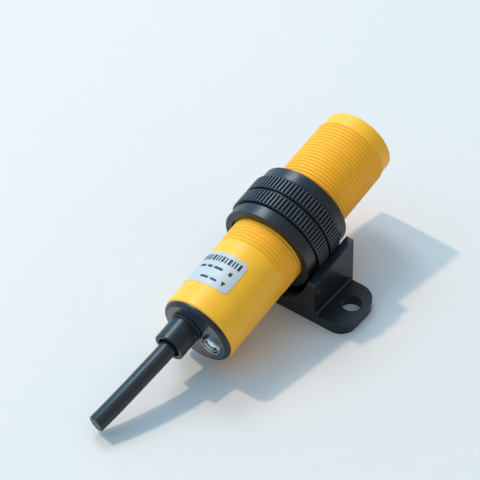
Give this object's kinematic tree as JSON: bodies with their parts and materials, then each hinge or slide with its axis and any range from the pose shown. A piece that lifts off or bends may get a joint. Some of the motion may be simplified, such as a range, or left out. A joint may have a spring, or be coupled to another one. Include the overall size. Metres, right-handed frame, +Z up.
{
  "type": "ultrasonic sensor",
  "caption": "Threaded cylindrical ultrasonic proximity sensor with offset cable sleeve, indicator and knurled nuts on an angled moulded clamp bracket.",
  "frame": {"origin": "on the bracket's base, straight below the point where the barrel's axis crosses the clamp plate", "axes": "+X is the nose's heading seen from above, +Y is to its left and away from the foot, +Z is up"},
  "size_m": [0.1532, 0.0564, 0.0492],
  "materials": {
    "yellow_plastic": "satin moulded",
    "black_plastic": "satin moulded",
    "black_rubber": "satin",
    "cable_jacket": "satin",
    "core_insulation": "smooth",
    "nickel_plate": "bright plated",
    "clear_lens": "clear",
    "emitter_resin": "clear moulded",
    "tinned_wire": "tinned",
    "label_foil": "satin foil",
    "matching_resin": "fine matt",
    "piezo_ceramic": "fired",
    "cup_plastic": "moulded",
    "soft_ring": "matt",
    "foam": "open cell",
    "board_laminate": "solder resist",
    "lead_insulation": "smooth",
    "ferrite": "pressed",
    "can_sleeve": "shrink sleeve",
    "chip_resin": "moulded",
    "bead_resin": "dipped",
    "washer_steel": "stamped",
    "black_steel": "blackened"
  },
  "bodies": {
    "bracket": {"bracket_body": "black_plastic", "clamp_plate": "black_steel"},
    "sensor": {"barrel_housing": "yellow_plastic", "rear_cap": "black_plastic", "cap_seal": "black_rubber", "strain_relief": "black_rubber", "cable": "cable_jacket", "cable_tail": "cable_jacket", "cable_cores": "core_insulation", "indicator_bezel": "nickel_plate", "indicator_lens": "clear_lens", "led": "emitter_resin", "led_leads": "tinned_wire", "rating_label": "label_foil", "matching_layer": "matching_resin", "piezo_disc": "piezo_ceramic", "transducer_cup": "cup_plastic", "decoupling_ring": "soft_ring", "damping_backing": "foam", "transducer_board": "board_laminate", "transducer_leads": "lead_insulation", "board_carrier": "black_plastic", "circuit_board": "board_laminate", "transformer": "ferrite", "capacitor": "can_sleeve", "microcontroller": "chip_resin", "output_driver": "chip_resin", "thermistor": "bead_resin"},
    "front_washer": {"front_washer": "washer_steel"},
    "front_nut": {"front_nut": "black_plastic"},
    "rear_washer": {"rear_washer": "washer_steel"},
    "rear_nut": {"rear_nut": "black_plastic"}
  },
  "joints": [
    {"name": "sensor_turn", "type": "hinge", "parent": "bracket", "child": "sensor", "pos_m": [0, 0, 0.0264], "axis": [0.9833, 0, 0.1822], "range_deg": [-180, 180]},
    {"name": "front_washer_travel", "type": "slide", "parent": "sensor", "child": "front_washer", "axis": [0.9833, 0, 0.1822], "range_m": [0, 0.03]},
    {"name": "front_nut_turn", "type": "hinge", "parent": "front_washer", "child": "front_nut", "pos_m": [0.0059, 0, 0.02749], "axis": [0.9833, 0, 0.1822], "range_deg": [0, 7200]},
    {"name": "rear_washer_travel", "type": "slide", "parent": "sensor", "child": "rear_washer", "axis": [-0.9833, 0, -0.1822], "range_m": [0, 0.009]},
    {"name": "rear_nut_turn", "type": "hinge", "parent": "rear_washer", "child": "rear_nut", "pos_m": [-0.0059, 0, 0.02531], "axis": [-0.9833, 0, -0.1822], "range_deg": [0, 2160]}
  ],
  "couplings": [
    {"joint": "front_washer_travel", "follows": "front_nut_turn", "m_per_rad": 0.00023873},
    {"joint": "rear_washer_travel", "follows": "rear_nut_turn", "m_per_rad": 0.00023873}
  ]
}
